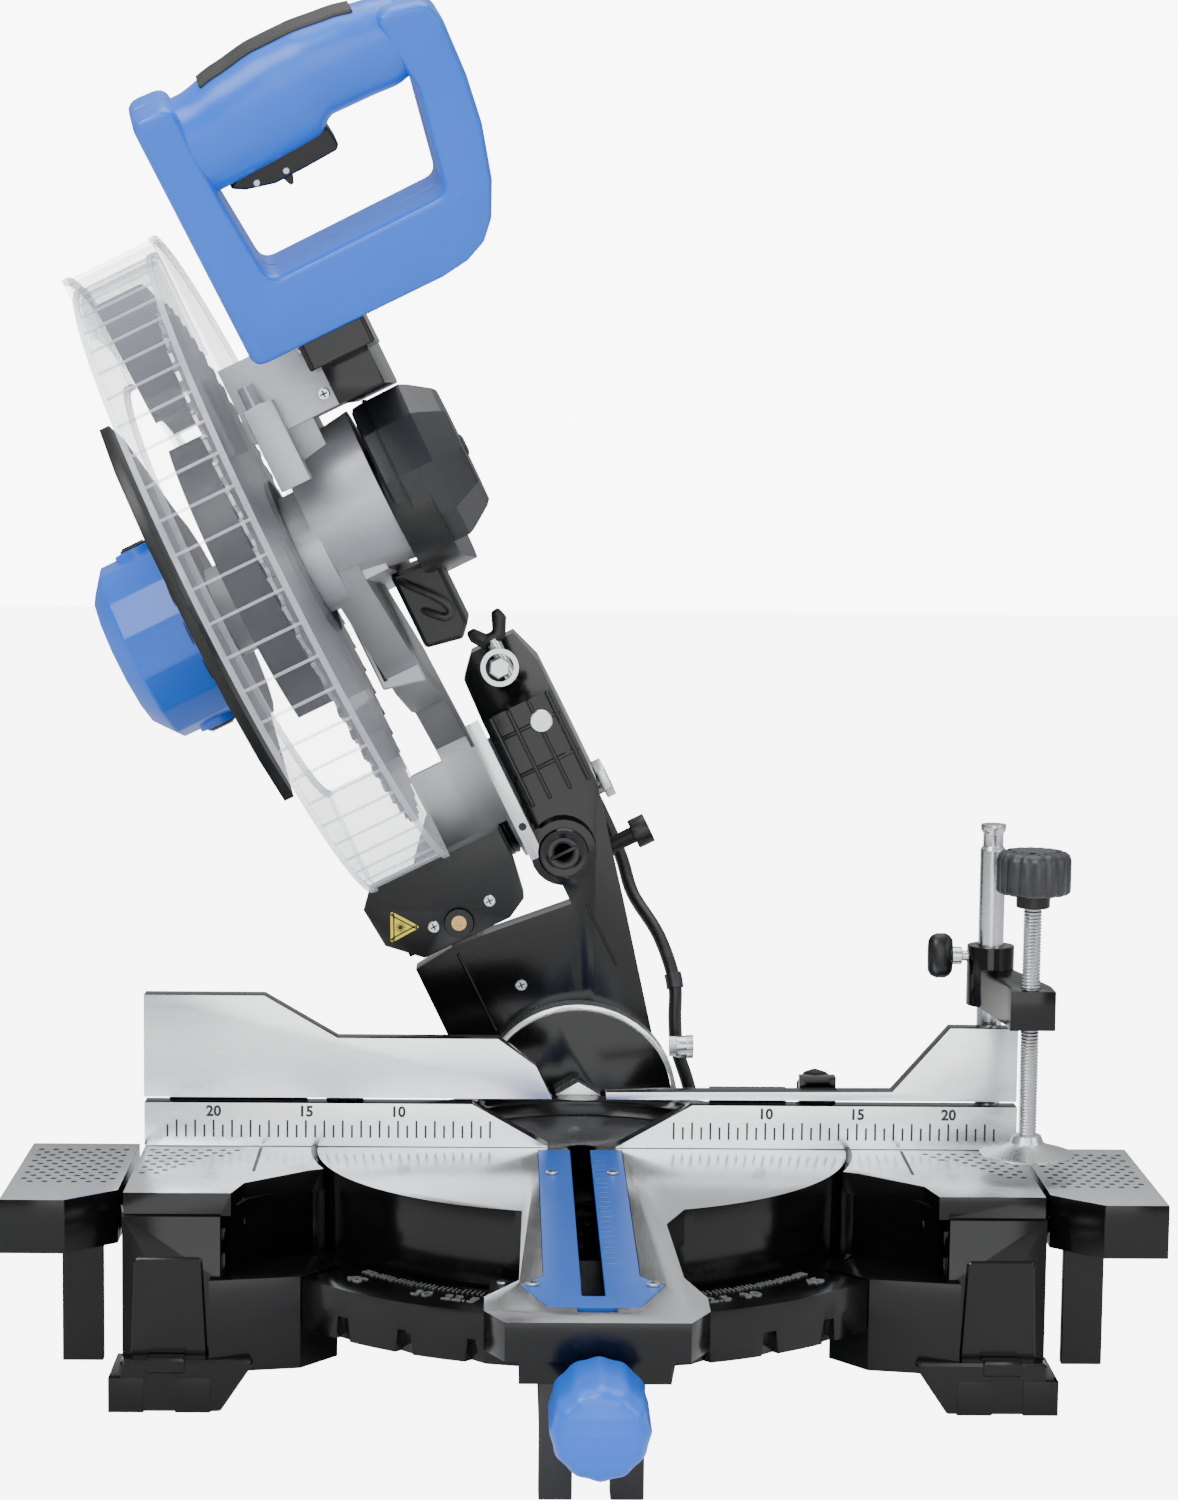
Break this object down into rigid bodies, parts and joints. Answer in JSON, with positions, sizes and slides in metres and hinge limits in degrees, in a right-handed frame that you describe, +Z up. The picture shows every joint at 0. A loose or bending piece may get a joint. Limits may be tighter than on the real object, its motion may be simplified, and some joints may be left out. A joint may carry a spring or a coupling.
{
  "type": "compound mitre saw",
  "caption": "Compound mitre saw with tilting spring-raised head, clear guards, turntable, sliding fences, extension wings and a hold-down clamp.",
  "frame": {"origin": "middle of the saw's footprint on the bench, at the height of the feet, mains lead left out", "axes": "+Z up, +Y away from the user along the kerf, +X to the user's right"},
  "size_m": [0.596, 0.673, 0.7108],
  "materials": {
    "black_paint": "gloss black powder coat",
    "machined": "milled",
    "cast": "bead-blasted casting",
    "steel": "bright zinc",
    "dark_steel": "blackened",
    "blue_plastic": "fine moulded",
    "black_plastic": "fine moulded",
    "grey_plastic": "fine moulded",
    "rubber": "soft",
    "clear_plastic": "clear polycarbonate",
    "brass": "turned",
    "copper": "varnished windings"
  },
  "bodies": {
    "base": {"base_casting": "black_paint", "front_support_foot": "grey_plastic", "fixed_fence": "machined", "strain_relief": "rubber", "mains_lead": "rubber", "lead_coil": "rubber", "lead_tail": "rubber", "mains_plug": "black_plastic"},
    "turntable": {"turntable": "machined", "table_pivot_bolt": "steel", "kerf_insert": "blue_plastic", "bevel_scale": "machined", "bevel_pivot_bolt": "steel"},
    "mitre_lock_knob": {"mitre_lock_knob": "blue_plastic"},
    "left_upper_fence": {"left_upper_fence": "machined"},
    "right_upper_fence": {"right_upper_fence": "machined"},
    "left_fence_lock": {"left_fence_lock": "black_plastic"},
    "right_fence_lock": {"right_fence_lock": "black_plastic"},
    "left_wing": {"left_wing": "machined"},
    "right_wing": {"right_wing": "machined"},
    "left_work_stop": {"left_work_stop": "grey_plastic"},
    "right_work_stop": {"right_work_stop": "grey_plastic"},
    "clamp_post": {"clamp_post": "steel"},
    "clamp_arm": {"clamp_arm": "black_paint"},
    "clamp_thumb_screw": {"clamp_thumb_screw": "black_plastic"},
    "clamp_screw": {"clamp_screw": "steel"},
    "bevel_arm": {"bevel_arm": "black_paint", "bevel_stop_bolt": "steel", "chop_pin": "steel", "lift_spring": "dark_steel", "laser_housing": "black_plastic", "laser_lens": "brass", "guard_link": "steel", "arm_cable": "rubber"},
    "bevel_lock_lever": {"bevel_lock_lever": "black_plastic"},
    "depth_stop": {"depth_stop": "steel"},
    "transport_lock_pin": {"transport_lock_pin": "dark_steel"},
    "head": {"head_casting": "cast", "belt_cover": "black_plastic", "drive_belt": "rubber", "end_cap": "grey_plastic", "spindle_bearing": "steel", "guard_bracket": "cast", "upper_guard": "clear_plastic", "motor_housing": "blue_plastic", "stator": "dark_steel", "brush_cap_upper": "black_plastic", "brush_cap_lower": "black_plastic", "motor_plate": "black_plastic", "handle_front_shell": "blue_plastic", "handle_rear_shell": "blue_plastic", "grip_pad": "rubber", "switch_block": "black_plastic", "handle_arm": "black_paint"},
    "lower_guard": {"lower_guard": "clear_plastic"},
    "blade": {"blade": "steel", "arbor_bolt": "dark_steel", "spindle": "steel"},
    "armature": {"armature": "copper"},
    "trigger": {"trigger": "black_plastic"}
  },
  "joints": [
    {"name": "mitre_turn", "type": "hinge", "parent": "base", "child": "turntable", "pos_m": [0, 0.06555, 0.11], "axis": [0, 0, 1], "range_deg": [-45, 45]},
    {"name": "mitre_lock_turn", "type": "hinge", "parent": "turntable", "child": "mitre_lock_knob", "pos_m": [0, -0.30745, 0.077], "axis": [0, 1, 0], "range_deg": [-90, 0]},
    {"name": "left_fence_slide", "type": "slide", "parent": "base", "child": "left_upper_fence", "axis": [-1, 0, 0], "range_m": [0, 0.06]},
    {"name": "right_fence_slide", "type": "slide", "parent": "base", "child": "right_upper_fence", "axis": [1, 0, 0], "range_m": [0, 0.06]},
    {"name": "left_fence_lock_turn", "type": "hinge", "parent": "base", "child": "left_fence_lock", "pos_m": [-0.13, 0.10554, 0.137], "axis": [0, 1, 0], "range_deg": [-90, 90]},
    {"name": "right_fence_lock_turn", "type": "hinge", "parent": "base", "child": "right_fence_lock", "pos_m": [0.13, 0.10554, 0.137], "axis": [0, 1, 0], "range_deg": [-90, 90]},
    {"name": "left_wing_slide", "type": "slide", "parent": "base", "child": "left_wing", "axis": [-1, 0, 0], "range_m": [0, 0.05]},
    {"name": "right_wing_slide", "type": "slide", "parent": "base", "child": "right_wing", "axis": [1, 0, 0], "range_m": [0, 0.05]},
    {"name": "left_work_stop_flip", "type": "hinge", "parent": "left_wing", "child": "left_work_stop", "pos_m": [-0.286, 0.07254, 0.104], "axis": [0, 1, 0], "range_deg": [0, 180]},
    {"name": "right_work_stop_flip", "type": "hinge", "parent": "right_wing", "child": "right_work_stop", "pos_m": [0.286, 0.07254, 0.104], "axis": [0, 1, 0], "range_deg": [0, 180]},
    {"name": "clamp_post_swivel", "type": "hinge", "parent": "base", "child": "clamp_post", "pos_m": [0.224, 0.08754, 0.16], "axis": [0, 0, 1], "range_deg": [-30, 30]},
    {"name": "clamp_arm_slide", "type": "slide", "parent": "clamp_post", "child": "clamp_arm", "axis": [0, 0, 1], "range_m": [0, 0.06]},
    {"name": "clamp_thumb_turn", "type": "hinge", "parent": "clamp_arm", "child": "clamp_thumb_screw", "pos_m": [0.2, 0.08754, 0.214], "axis": [1, 0, 0], "range_deg": [-180, 180]},
    {"name": "clamp_screw_travel", "type": "slide", "parent": "clamp_arm", "child": "clamp_screw", "axis": [0, 0, 1], "range_m": [-0.007, 0.04]},
    {"name": "bevel_tilt", "type": "hinge", "parent": "turntable", "child": "bevel_arm", "pos_m": [0, 0.20655, 0.11], "axis": [0, 1, 0], "range_deg": [-18.5, 26.5], "deforming": ["arm_cable"]},
    {"name": "bevel_lock_turn", "type": "hinge", "parent": "bevel_arm", "child": "bevel_lock_lever", "pos_m": [0, 0.23555, 0.11], "axis": [0, 1, 0], "range_deg": [-30, 30]},
    {"name": "depth_stop_turn", "type": "hinge", "parent": "bevel_arm", "child": "depth_stop", "pos_m": [-0.04622, 0.20355, 0.36631], "axis": [-0.4462, 0, 0.8949], "range_deg": [-180, 180]},
    {"name": "transport_pin_pull", "type": "slide", "parent": "bevel_arm", "child": "transport_lock_pin", "axis": [0.8949, 0, 0.4462], "range_m": [0, 0.012]},
    {"name": "head_chop", "type": "hinge", "parent": "bevel_arm", "child": "head", "pos_m": [-0.06916, 0.25555, 0.24871], "axis": [0.8949, 0, 0.4462], "range_deg": [0, 52.5], "stiffness_Nm_per_rad": 22, "springref_deg": -126.05},
    {"name": "lower_guard_lift", "type": "hinge", "parent": "head", "child": "lower_guard", "pos_m": [-0.1584, 0.05554, 0.4277], "axis": [0.8949, 0, 0.4462], "range_deg": [-126.5, 0]},
    {"name": "blade_spin", "type": "hinge", "parent": "head", "child": "blade", "pos_m": [-0.1584, 0.05554, 0.4277], "axis": [0.8949, 0, 0.4462], "continuous": true},
    {"name": "armature_spin", "type": "hinge", "parent": "head", "child": "armature", "pos_m": [-0.23896, 0.27054, 0.37189], "axis": [0.8949, 0, 0.4462], "continuous": true},
    {"name": "trigger_squeeze", "type": "hinge", "parent": "head", "child": "trigger", "pos_m": [-0.17492, -0.11817, 0.62445], "axis": [0.1671, -0.9272, -0.3352], "range_deg": [0, 5], "stiffness_Nm_per_rad": 0.6, "springref_deg": -14.32}
  ],
  "couplings": [
    {"joint": "lower_guard_lift", "follows": "head_chop", "ratio": -2.4},
    {"joint": "armature_spin", "follows": "blade_spin", "ratio": 2.2}
  ]
}
